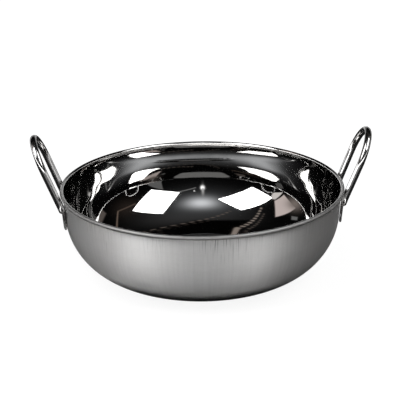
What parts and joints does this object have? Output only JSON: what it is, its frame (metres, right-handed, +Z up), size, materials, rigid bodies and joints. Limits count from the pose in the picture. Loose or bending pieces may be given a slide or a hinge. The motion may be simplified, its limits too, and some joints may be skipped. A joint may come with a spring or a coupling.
{
  "type": "frying pan",
  "caption": "Deep round-sided steel frying pan with a flat base, a slightly flared lip, a rolled rim and upright bent-wire loop handles, spot-welded to the wall.",
  "frame": {"origin": "middle of the flat base, on the surface that the pan stands on", "axes": "+Z up, +X through the middle of the right handle, so the handles lie at the two ends of the X axis"},
  "size_m": [0.3088, 0.26, 0.1319],
  "materials": {
    "pan_steel": "stainless steel, mirror-polished inside and satin outside",
    "wire_steel": "bright polished stainless-steel wire",
    "weld_steel": "bare weld metal, darkened by heat"
  },
  "bodies": {
    "root": {"bowl": "pan_steel", "handle_left": "wire_steel", "handle_right": "wire_steel", "weld_left_back": "weld_steel", "weld_left_front": "weld_steel", "weld_right_back": "weld_steel", "weld_right_front": "weld_steel"}
  },
  "joints": []
}
